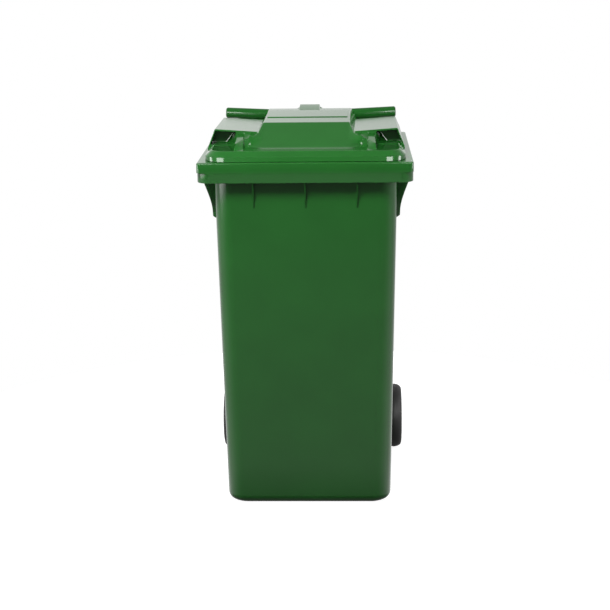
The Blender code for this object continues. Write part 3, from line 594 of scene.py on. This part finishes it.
def hand_pockets(shell):
    """Open each side panel's front wall and line the opening with a moulded recess."""
    liners = []
    for side, label in ((-1, "left"), (1, "right")):
        opening = plate("opening", pocket_outline(side, 0.0), along(POCKET_CUT[0]),
                        along(POCKET_CUT[1]), "Y")
        boolean(shell, "DIFFERENCE", opening, "MANIFOLD")
        shape = bmesh.new()
        rings = []
        for depth, shrink in ((0.0, 0.0), (0.5, 0.0), (0.93, 0.0), (0.98, 0.0009), (1.0, 0.003),
                              (1.0, 0.0036)):
            ring = []
            for x, z in pocket_outline(side, depth, shrink):
                front = PANEL_FRONT - 0.004 + (z - SHELF + 0.004) / PANEL_STEEPNESS + 0.0006
                ring.append(shape.verts.new((x, along(front + POCKET_DEPTH * depth), z)))
            rings.append(ring)
        for near, far in zip(rings, rings[1:]):
            for i in range(len(near)):
                j = (i + 1) % len(near)
                shape.faces.new((near[i], near[j], far[j], far[i]))
        shape.faces.new(rings[-1])
        bmesh.ops.recalc_face_normals(shape, faces=shape.faces)
        liner = new_object("pocket_liner_" + label, shape, GREEN)
        wall = liner.modifiers.new("wall", "SOLIDIFY")
        wall.thickness = 0.003
        wall.offset = 1.0
        liners.append(flatten(liner, 25))
    return liners


def spread(marks, step):
    """Values through the marks in order, at most one step apart."""
    values = [marks[0]]
    for low, high in zip(marks, marks[1:]):
        count = max(1, math.ceil((high - low) / step - 1e-6))
        values += [low + (high - low) * i / count for i in range(1, count + 1)]
    return values


def lid_columns():
    """Plan positions of the lid's lengthwise lines, from the middle outwards.

    They lie close together at the stop's side, the step's end, the flare, the rib and the side.
    """
    columns = spread([0.0, 0.028], 0.007) + spread([0.0290, 0.0320], 0.001)
    columns += spread([0.040, 0.108], 0.0115) + spread([0.1125, 0.1145], 0.0005)
    columns += spread([0.1155, 0.1745], 0.0017) + spread([0.1765, 0.1825], 0.003)
    columns += spread([0.1845, 0.1975], 0.0013) + spread([0.200, 0.236], 0.004)
    columns += spread([0.238, 0.2700], 0.0016) + [0.2706, 0.2711, 0.2714]
    return columns


def lid_rows():
    """Places of the lid's crosswise lines, from the front edge to the back edge.

    They lie close together at the lip, the flare, the pockets' wall, the hump's front edge, the
    thin step, the hand hollow and the rear wall.
    """
    rows = [LIP_FRONT + t for t in (0.0, 0.0002, 0.0007, 0.0014, 0.0024, 0.0040, 0.007, 0.010,
                                    0.0130, 0.0150, 0.0160, 0.0170, 0.0180, 0.0195)]
    rows += spread([0.0440, 0.054], 0.005) + spread([0.0560, 0.072], 0.004)
    rows += spread([0.0745, 0.1615], 0.0022) + spread([0.1622, 0.1695], 0.0004)
    rows += [0.1705, 0.172, 0.174, 0.177, 0.181, 0.186, 0.191] + spread([0.195, 0.205], 0.0014)
    rows += spread([0.208, 0.316], 0.012) + spread([0.3194, 0.3214], 0.0004)
    rows += spread([0.330, 0.498], 0.012) + [0.5005, 0.503, 0.506] + spread([0.515, 0.536], 0.0014)
    rows += spread([0.5385, 0.570], 0.0025) + spread([0.576, 0.592], 0.008) + [0.5945, 0.597]
    rows += spread([0.602, 0.612], 0.005) + [0.6135]
    rows += spread([0.6150, 0.6355], 0.0017) + [0.6365, 0.6372, 0.6377, LID_BACK]
    return rows


def lid_shell():
    """The lid's moulded skin: a grid over its outline, given its wall by Solidify."""
    shape = bmesh.new()
    grid = []
    columns = np.array(lid_columns() + [LID_HALF_WIDTH])
    for behind in lid_rows():
        reach = max(0.0, LID_CORNER - min(behind - LIP_FRONT, LID_BACK - behind))
        width = LID_HALF_WIDTH - LID_CORNER + math.sqrt(max(0.0, LID_CORNER ** 2 - reach ** 2))
        half = columns * width / LID_HALF_WIDTH
        heights = lid_height(half, np.full_like(half, behind))
        row = [(side * x, along(behind), z)
               for side, order in ((-1, slice(None, 0, -1)), (1, slice(None)))
               for x, z in zip(half[order], heights[order])]
        grid.append([shape.verts.new(point) for point in row])
    for front, back in zip(grid, grid[1:]):
        for i in range(len(front) - 1):
            shape.faces.new((front[i], front[i + 1], back[i + 1], back[i]))
    skirt = [edge for edge in shape.edges if edge.is_boundary]
    for share, level in ((0.15, None), (0.7, LID_BOTTOM + 0.0015), (0.15, LID_BOTTOM)):
        grown = bmesh.ops.extrude_edge_only(shape, edges=skirt)["geom"]
        skirt = [part for part in grown if isinstance(part, bmesh.types.BMEdge)]
        for part in grown:
            if isinstance(part, bmesh.types.BMVert):
                facing = (along(LIP_FRONT + LID_CORNER) - part.co.y) / LID_CORNER
                part.co.y -= (LIP_FRONT - LID_FRONT) * share * min(1.0, max(0.0, facing)) ** 2
                part.co.z = level or part.co.z - 0.0015
    bmesh.ops.recalc_face_normals(shape, faces=shape.faces)
    item = new_object("lid_shell", shape, GREEN, 40)
    wall = item.modifiers.new("wall", "SOLIDIFY")
    wall.thickness = LID_WALL
    wall.offset = -1.0
    flatten(item, 40)
    for vertex in item.data.vertices:
        vertex.co.z = max(vertex.co.z, LID_BOTTOM)
    return item


def lid_lugs():
    """Lugs at the lid's back edge, each round about the hinge pin."""
    pieces = []
    for side, label in ((-1, "left"), (1, "right")):
        low, high = sorted((side * LUG[0], side * LUG[1]))
        outline = [(LID_BACK - 0.003, 1.014), (HINGE_BEHIND - 0.004, HINGE_HEIGHT - LUG_RADIUS)]
        for step in range(17):
            angle = math.radians(-80 + step * 11.25)
            outline.append((HINGE_BEHIND + LUG_RADIUS * math.cos(angle),
                            HINGE_HEIGHT + LUG_RADIUS * math.sin(angle)))
        outline += [(LID_BACK - 0.003, HINGE_HEIGHT + LUG_RADIUS)]
        pieces.append(bevel(plate("lid_lug_" + label, outline, low, high, "X", GREEN), 0.0015, 3))
    return pieces


# ---- wheels -------------------------------------------------------------------------------
def on_axle(item, side):
    """Put a piece made about local Z on the axle, its +Z end outboard."""
    item.matrix_world = (Matrix.Translation((side * WHEEL_MIDDLE, along(AXLE_BEHIND), AXLE_HEIGHT))
                         @ Matrix.Rotation(side * math.pi / 2, 4, "Y"))
    return item


def tyre(side, label):
    """Solid tyre: oval in section, with a mould line round its tread."""
    crown, height, half_width = 0.0845, 0.0155, 0.0240
    profile = [(SEAT_RADIUS + 0.0003, 0.0212), (0.0790, 0.0228), (0.0815, 0.0237)]
    for step in range(33):
        angle = (1 - step / 16) * math.radians(88)
        line = 0.0003 if step == 16 else 0.0
        profile.append((crown + height * math.cos(angle) - 0.0003 + line,
                        half_width * math.sin(angle)))
    profile += [(0.0815, -0.0237), (0.0790, -0.0228), (SEAT_RADIUS + 0.0003, -0.0212)]
    return on_axle(turned("tyre_skin_" + label, profile, True, RUBBER, 144), side)


def wheel_rim(side, label):
    """Moulded rim, web and hub, with ribs on both faces of the web."""
    inner, hub = SEAT_RADIUS - 0.0055, 0.020
    profile = [(SEAT_RADIUS - 0.0006, 0.0205), (SEAT_RADIUS, 0.0199), (SEAT_RADIUS, -0.0199),
               (SEAT_RADIUS - 0.0006, -0.0205), (inner + 0.0006, -0.0205), (inner, -0.0199),
               (inner - 0.0005, -0.0045), (inner - 0.0020, -0.003), (hub + 0.002, -0.003),
               (hub, -0.005), (hub, -0.0226), (hub - 0.0006, -0.0232), (AXLE_BORE, -0.0232),
               (AXLE_BORE, 0.012), (0.0399, 0.012), (0.0405, 0.0114), (0.0405, 0.0035),
               (0.0420, 0.002), (inner - 0.0020, 0.002), (inner - 0.0005, 0.0035),
               (inner, 0.0199), (inner + 0.0006, 0.0205)]
    pieces = [on_axle(turned("rim_" + label, profile, True, BLACK, 128), side)]
    faces = (("out", 0.0400, 0.001, 0.0105), ("in", 0.019, -0.014, -0.002))
    for index in range(SPOKES):
        turn = Matrix.Rotation((index + 0.5) * 2 * math.pi / SPOKES, 4, "Z")
        for face, start, low, high in faces:
            outline = [(start, low), (inner + 0.001, low), (inner + 0.001, high), (start, high)]
            rib = plate("rib_%s_%s_%d" % (face, label, index), outline, -SPOKE_HALF_WIDTH,
                        SPOKE_HALF_WIDTH, "Y", BLACK)
            on_axle(bevel(rib, 0.0006, 2), side)
            rib.matrix_world = rib.matrix_world @ turn
            pieces.append(rib)
    return pieces


def hub_cap(side, label):
    """Domed cap with a raised ring, clipped over the hub's chamber."""
    profile = [(0.0, 0.0236), (0.0130, 0.02350), (0.0195, 0.02325), (0.0205, 0.0226),
               (0.0225, 0.0226), (0.0235, 0.0229), (0.0320, 0.0214), (0.0380, 0.0191),
               (0.0415, 0.0160), (0.0430, 0.0130), (0.0434, 0.0105), (0.0434, 0.0042),
               (0.0430, 0.0038), (0.0412, 0.0038), (0.0409, 0.0042), (0.0409, 0.0125),
               (0.0320, 0.0190), (0.0190, 0.0210), (0.0, 0.0214)]
    return on_axle(turned("cap_" + label, profile, False, BLACK, 96), side)


# ---- assembly -----------------------------------------------------------------------------
def stand_for(pieces, body, node):
    """Let the pieces ride on a body and stand for one CAD node, which is hidden."""
    for index, piece in enumerate(pieces):
        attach(piece, body)
        if index == 0:
            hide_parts(node)


def build_body():
    """The tub with everything moulded on it."""
    shell = tub_and_rim()
    wheel_arches(shell)
    stand_for([shell, *rim_gussets(), *hinge_ears(), *hand_grips(), *axle_bosses()], "bin",
              "body")


def build_lid():
    """The lid's skin, its two lined hand pockets and its hinge lugs."""
    shell = lid_shell()
    stand_for([shell, *hand_pockets(shell), *lid_lugs()], "lid", "lid")


def build_wheels():
    """Tyre, rim and cap of both wheels."""
    for side, label in ((-1, "left"), (1, "right")):
        body = "wheel_" + label
        stand_for([tyre(side, label)], body, "tyre_" + label)
        stand_for(wheel_rim(side, label), body, "wheel_rim_" + label)
        stand_for([hub_cap(side, label)], body, "hub_cap_" + label)


def coil_line(low, high, wire):
    """Curve object along a coil that fits the box between two corners."""
    turns, steps = 6, 24
    middle, radius = (low + high) / 2, (high.x - low.x) / 2 - wire
    rise = high.z - low.z - 2 * wire
    curve = bpy.data.curves.new("coil", "CURVE")
    curve.dimensions = "3D"
    curve.bevel_depth = wire
    curve.bevel_resolution = 3
    curve.use_fill_caps = True
    line = curve.splines.new("POLY")
    line.points.add(turns * steps)
    for index, point in enumerate(line.points):
        angle = index / steps * 2 * math.pi
        point.co = (middle.x + radius * math.cos(angle), middle.y + radius * math.sin(angle),
                    low.z + wire + rise * index / (turns * steps), 1.0)
    item = bpy.data.objects.new("coil", curve)
    bpy.context.scene.collection.objects.link(item)
    return item


def lock_springs():
    """Coil springs above the lock pins, each fitted to the box of its CAD spring."""
    for label in ("left", "right"):
        node = "lock_spring_" + label
        low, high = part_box(node)
        line = coil_line(low, high, 0.0005)
        bpy.context.view_layer.update()
        graph = bpy.context.evaluated_depsgraph_get()
        mesh = bpy.data.meshes.new_from_object(line.evaluated_get(graph))
        bpy.data.objects.remove(line, do_unlink=True)
        shape = bmesh.new()
        shape.from_mesh(mesh)
        bmesh.ops.remove_doubles(shape, verts=shape.verts, dist=0.00001)
        spring = new_object("spring_coil_" + label, shape, STEEL)
        stand_for([spring], "wheel_" + label, node)
        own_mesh(spring)


def paint_nodes():
    """Better materials for the CAD pieces whose shape is already right."""
    finishes = {"black_plastic": BLACK, "tyre_rubber": RUBBER, "buffer_rubber": RUBBER,
                "zinc_steel": STEEL, "spring_steel": STEEL, "yellow_acetal": YELLOW,
                "green_plastic": GREEN}
    for part in frame["record"]["subparts"]:
        node = frame["nodes"][part["node"]]
        node.data.materials.clear()
        node.data.materials.append(finishes[part["material_slot"]])


# ---- studio -------------------------------------------------------------------------------
def area_light(name, place, target, size, size_y, power, diffuse=True, glossy=True):
    """Soft box that points at a target; it may be left out of the gloss or of the matt light."""
    lamp = bpy.data.lights.new(name, "AREA")
    lamp.shape = "RECTANGLE"
    lamp.size, lamp.size_y, lamp.energy = size, size_y, power
    item = bpy.data.objects.new(name, lamp)
    item.location = place
    item.rotation_euler = (Vector(target) - Vector(place)).to_track_quat("-Z", "Y").to_euler()
    item.visible_diffuse, item.visible_glossy = diffuse, glossy
    bpy.context.scene.collection.objects.link(item)
    return item


def add_floor():
    """Pale round floor that ends a little in front of the bin; gloss doesn't mirror it."""
    shape = bmesh.new()
    bmesh.ops.create_circle(shape, cap_ends=True, segments=96, radius=1.41)
    floor = new_object("floor", shape, None)
    paper = bpy.data.materials.new("white_floor")
    paper.use_nodes = True
    shader = paper.node_tree.nodes["Principled BSDF"]
    shader.inputs["Base Color"].default_value = (0.35, 0.35, 0.35, 1.0)
    shader.inputs["Roughness"].default_value = 0.9
    shader.inputs["Specular IOR Level"].default_value = 0.1
    shader.inputs["Emission Color"].default_value = (1.0, 1.0, 1.0, 1.0)
    shader.inputs["Emission Strength"].default_value = 0.92
    floor.data.materials.append(paper)
    floor.visible_glossy = False
    floor.visible_diffuse = False


def graded(nodes, links, source, stops):
    """Grey level read from (value, level) stops, for values from -1 to 1."""
    scaled = nodes.new("ShaderNodeMapRange")
    scaled.inputs["From Min"].default_value = -1.0
    links.new(source, scaled.inputs["Value"])
    ramp = nodes.new("ShaderNodeValToRGB")
    while len(ramp.color_ramp.elements) < len(stops):
        ramp.color_ramp.elements.new(0.5)
    for element, (value, level) in zip(ramp.color_ramp.elements, stops):
        element.position = (value + 1) / 2
        element.color = (level, level, level, 1.0)
    links.new(scaled.outputs["Result"], ramp.inputs["Fac"])
    return ramp.outputs["Color"]


def combined(nodes, links, how, first, second, factor=1.0):
    """Two colours joined by a Mix node."""
    mix = nodes.new("ShaderNodeMix")
    mix.data_type = "RGBA"
    mix.blend_type = how
    mix.clamp_factor = True
    if isinstance(factor, float):
        mix.inputs["Factor"].default_value = factor
    else:
        links.new(factor, mix.inputs["Factor"])
    links.new(first, mix.inputs[6])
    links.new(second, mix.inputs[7])
    return mix.outputs[2]


def studio_world():
    """White behind and beside the bin, dark towards the camera; the camera sees plain white."""
    world = bpy.data.worlds.new("studio")
    bpy.context.scene.world = world
    world.use_nodes = True
    nodes, links = world.node_tree.nodes, world.node_tree.links
    nodes.clear()
    out = nodes.new("ShaderNodeOutputWorld")
    seen = nodes.new("ShaderNodeBackground")
    seen.inputs["Color"].default_value = (1.0, 1.0, 1.0, 1.0)
    fill = nodes.new("ShaderNodeBackground")
    choose = nodes.new("ShaderNodeMixShader")
    path = nodes.new("ShaderNodeLightPath")
    place = nodes.new("ShaderNodeTexCoord")
    split = nodes.new("ShaderNodeSeparateXYZ")
    links.new(place.outputs["Generated"], split.inputs["Vector"])
    depth, height = split.outputs["Y"], split.outputs["Z"]
    room = graded(nodes, links, depth, [(-1.0, 0.15), (-0.70, 0.17), (-0.45, 0.50), (-0.20, 1.0),
                                        (1.0, 0.95)])
    upward = graded(nodes, links, height, [(-1.0, 1.0), (0.35, 1.0), (0.75, 0.50), (1.0, 0.30)])
    ground = graded(nodes, links, depth, [(-1.0, 0.28), (-0.70, 0.31), (-0.40, 0.60),
                                          (-0.10, 0.85), (1.0, 0.85)])
    near = graded(nodes, links, height, [(-1.0, 0.0), (-0.60, 0.05), (-0.46, 0.42), (-0.34, 0.20),
                                         (-0.27, 0.0)])
    under = graded(nodes, links, height, [(-1.0, 0.25), (-0.65, 0.30), (-0.45, 1.0), (1.0, 1.0)])
    below = graded(nodes, links, height, [(-1.0, 1.0), (-0.31, 1.0), (-0.25, 0.0), (1.0, 0.0)])
    aside = graded(nodes, links, split.outputs["X"], [(-1.0, 1.0), (-0.08, 1.0), (0.03, 0.82),
                                                      (1.0, 0.85)])
    room = combined(nodes, links, "MULTIPLY", room, upward)
    room = combined(nodes, links, "MULTIPLY", room, aside)
    ground = combined(nodes, links, "MULTIPLY", ground, under)
    ground = combined(nodes, links, "ADD", ground, near)
    both = combined(nodes, links, "MIX", room, ground, below)
    links.new(both, fill.inputs["Color"])
    dim = nodes.new("ShaderNodeBackground")
    dim.inputs["Color"].default_value = (0.11, 0.11, 0.11, 1.0)
    gloss = nodes.new("ShaderNodeMixShader")
    links.new(path.outputs["Is Glossy Ray"], gloss.inputs["Fac"])
    links.new(dim.outputs["Background"], gloss.inputs[1])
    links.new(fill.outputs["Background"], gloss.inputs[2])
    links.new(path.outputs["Is Camera Ray"], choose.inputs["Fac"])
    links.new(gloss.outputs["Shader"], choose.inputs[1])
    links.new(seen.outputs["Background"], choose.inputs[2])
    links.new(choose.outputs["Shader"], out.inputs["Surface"])


def studio():
    """White floor, graded surroundings, and soft boxes for the matt light and for the gloss."""
    bpy.context.scene.view_settings.view_transform = "Standard"
    add_floor()
    studio_world()
    wall, left_rim, right_rim = (0.0, -0.33, 0.9), (-0.28, -0.33, 0.97), (0.28, -0.33, 0.97)
    area_light("key", (-0.45, -1.75, 2.45), wall, 0.7, 0.7, 64, glossy=False)
    area_light("front", (-0.50, -3.30, 1.50), wall, 1.4, 1.4, 9, glossy=False)
    area_light("back", (0.70, 2.60, 1.90), (0.0, 0.3, 0.6), 1.2, 1.2, 95, glossy=False)
    area_light("side_left", (-2.40, -0.40, 1.30), wall, 0.6, 1.0, 24)
    area_light("side_right", (2.40, -0.40, 1.30), wall, 0.6, 1.0, 26)
    area_light("strip_left", (-1.575, -2.30, 1.85), (-1.575, -0.35, 1.0), 2.05, 0.80, 72,
               diffuse=False)
    area_light("strip_right", (1.25, -2.30, 1.85), (1.25, -0.35, 1.0), 1.60, 0.80, 56,
               diffuse=False)
    area_light("low_left", (-2.10, -1.15, 0.62), left_rim, 2.00, 0.50, 15, diffuse=False)
    area_light("low_right", (1.90, -1.90, 0.62), right_rim, 1.20, 0.40, 3.5, diffuse=False)


def camera():
    """View from the front, slightly right of the middle and above the lid."""
    data = bpy.data.cameras.new("camera")
    data.sensor_width = 36.0
    data.lens = 89.5
    item = bpy.data.objects.new("camera", data)
    pitch, yaw, roll = math.radians(13.72), math.radians(-1.77), math.radians(-0.65)
    forward = Vector((math.sin(yaw) * math.cos(pitch), math.cos(yaw) * math.cos(pitch),
                      -math.sin(pitch)))
    right = Vector((math.cos(yaw), -math.sin(yaw), 0.0))
    up = right.cross(forward)
    tilted_right = right * math.cos(roll) + up * math.sin(roll)
    tilted_up = up * math.cos(roll) - right * math.sin(roll)
    turn = Matrix((tilted_right, tilted_up, -forward)).transposed().to_4x4()
    item.matrix_world = Matrix.Translation((0.1204, along(-4.0), 1.5877)) @ turn
    bpy.context.scene.collection.objects.link(item)
    bpy.context.scene.camera = item


build_body()
build_lid()
build_wheels()
lock_springs()
paint_nodes()
studio()
camera()
